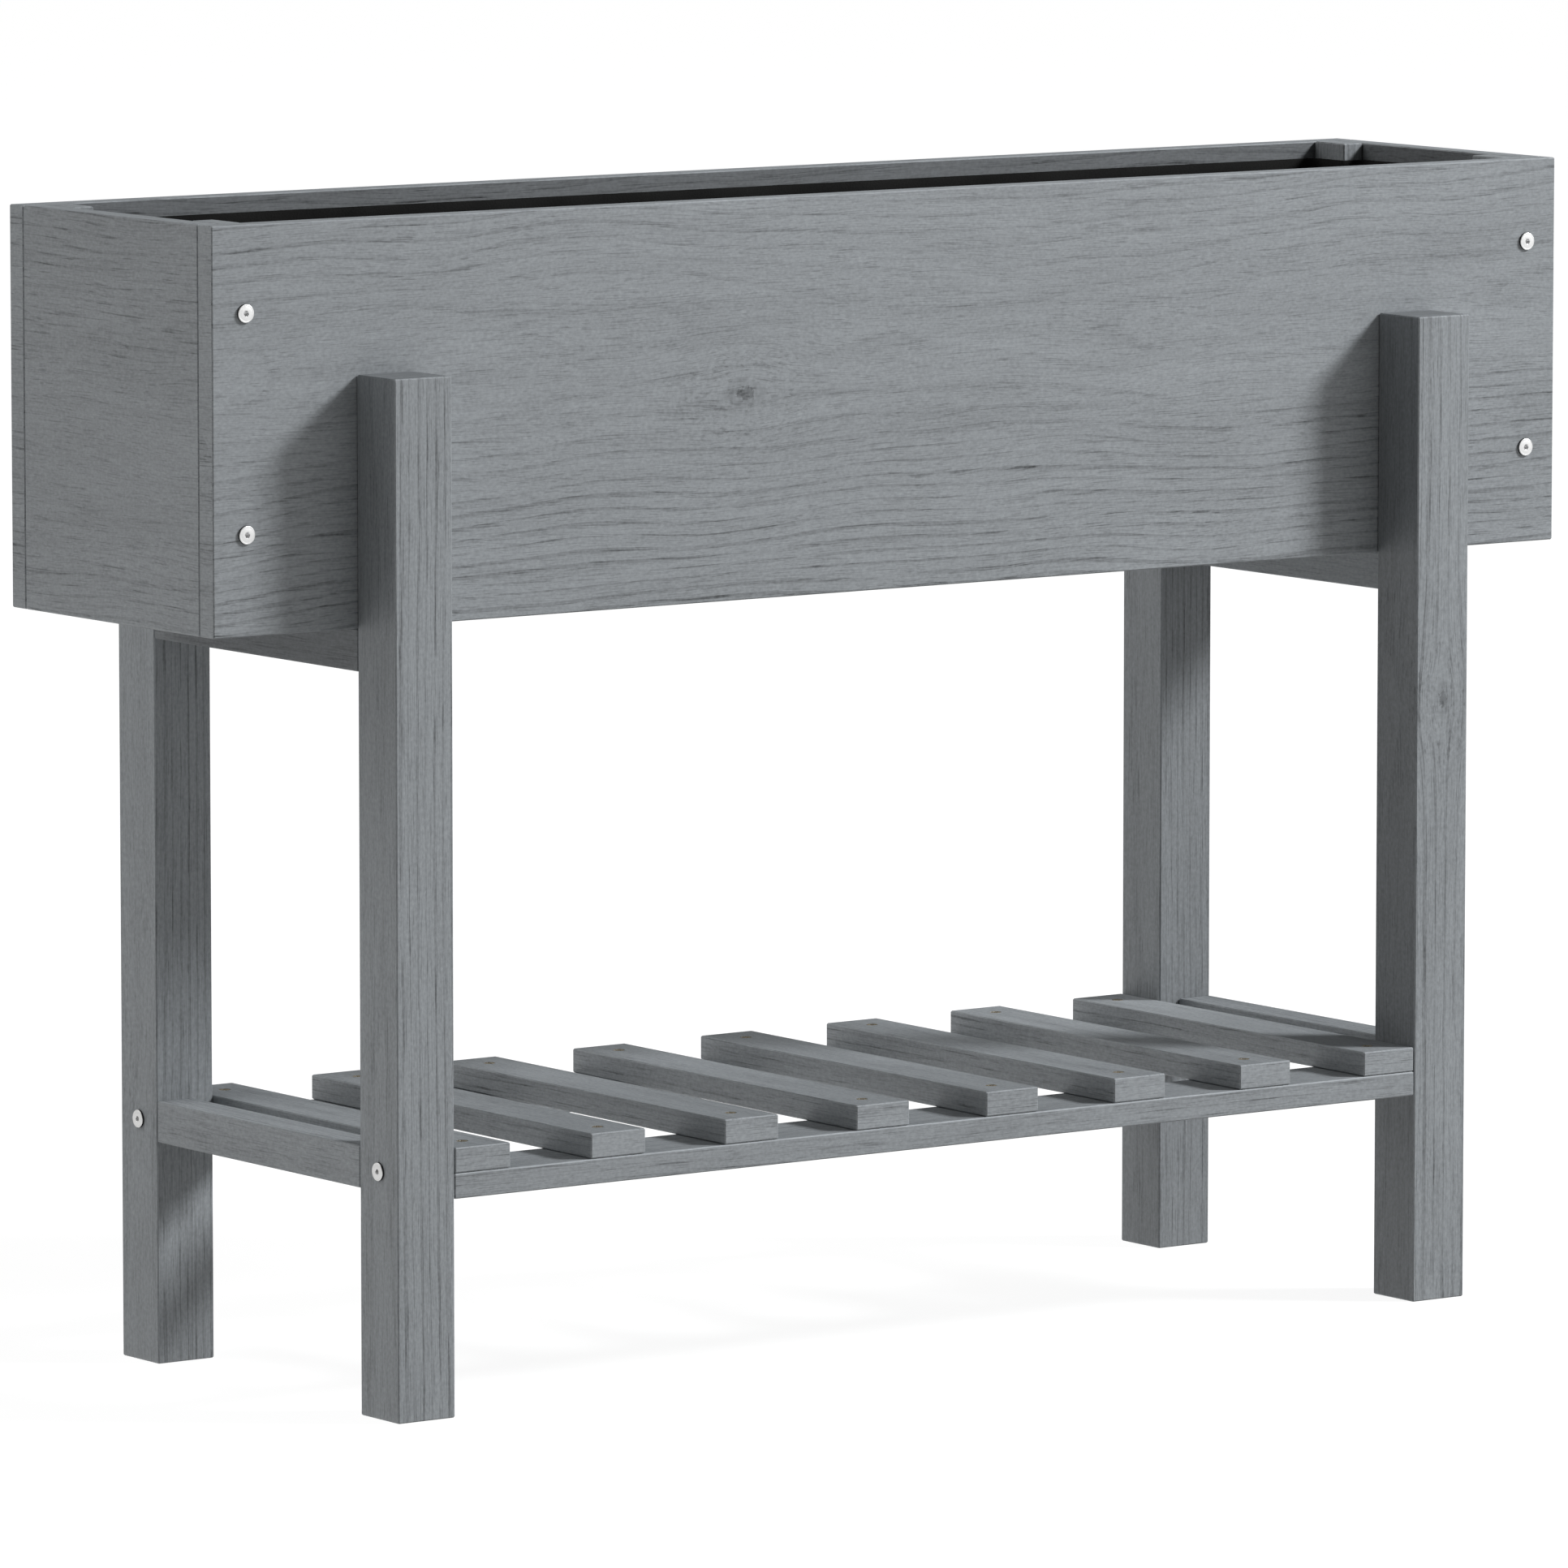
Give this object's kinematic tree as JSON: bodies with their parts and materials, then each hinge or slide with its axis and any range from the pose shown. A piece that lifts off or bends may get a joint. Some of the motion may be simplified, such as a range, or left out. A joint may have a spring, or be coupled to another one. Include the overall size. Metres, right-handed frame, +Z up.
{
  "type": "raised planter",
  "caption": "Long open wooden planting box with a fabric liner, held between square legs, with a slatted shelf near the floor.",
  "frame": {"origin": "on the floor, under the middle of the object", "axes": "+X along the box towards its right end, -Y towards the front, +Z up"},
  "size_m": [1, 0.3006, 0.706],
  "materials": {
    "grey_wood": "grey open-pored stain, matt",
    "liner_fabric": "black non-woven, matt",
    "bolt_steel": "bright, smooth heads",
    "screw_brass": "yellow passivated, satin"
  },
  "bodies": {
    "root": {"board_front": "grey_wood", "board_back": "grey_wood", "board_left_end": "grey_wood", "board_right_end": "grey_wood", "post_front_left": "grey_wood", "post_front_right": "grey_wood", "post_back_left": "grey_wood", "post_back_right": "grey_wood", "floor_board_front": "grey_wood", "floor_board_middle": "grey_wood", "floor_board_back": "grey_wood", "leg_front_left": "grey_wood", "leg_front_right": "grey_wood", "leg_back_left": "grey_wood", "leg_back_right": "grey_wood", "beam_left": "grey_wood", "beam_right": "grey_wood", "end_rail_left": "grey_wood", "end_rail_right": "grey_wood", "shelf_rail_front": "grey_wood", "shelf_rail_back": "grey_wood", "slat_1": "grey_wood", "slat_2": "grey_wood", "slat_3": "grey_wood", "slat_4": "grey_wood", "slat_5": "grey_wood", "slat_6": "grey_wood", "slat_7": "grey_wood", "slat_8": "grey_wood", "liner": "liner_fabric", "box_bolt_front_left_upper": "bolt_steel", "box_bolt_front_left_lower": "bolt_steel", "box_bolt_front_right_upper": "bolt_steel", "box_bolt_front_right_lower": "bolt_steel", "box_bolt_back_left_upper": "bolt_steel", "box_bolt_back_left_lower": "bolt_steel", "box_bolt_back_right_upper": "bolt_steel", "box_bolt_back_right_lower": "bolt_steel", "leg_bolt_front_left": "bolt_steel", "leg_bolt_front_right": "bolt_steel", "leg_bolt_back_left": "bolt_steel", "leg_bolt_back_right": "bolt_steel", "screw_1_front": "screw_brass", "screw_1_back": "screw_brass", "screw_2_front": "screw_brass", "screw_2_back": "screw_brass", "screw_3_front": "screw_brass", "screw_3_back": "screw_brass", "screw_4_front": "screw_brass", "screw_4_back": "screw_brass", "screw_5_front": "screw_brass", "screw_5_back": "screw_brass", "screw_6_front": "screw_brass", "screw_6_back": "screw_brass", "screw_7_front": "screw_brass", "screw_7_back": "screw_brass", "screw_8_front": "screw_brass", "screw_8_back": "screw_brass"}
  },
  "joints": []
}
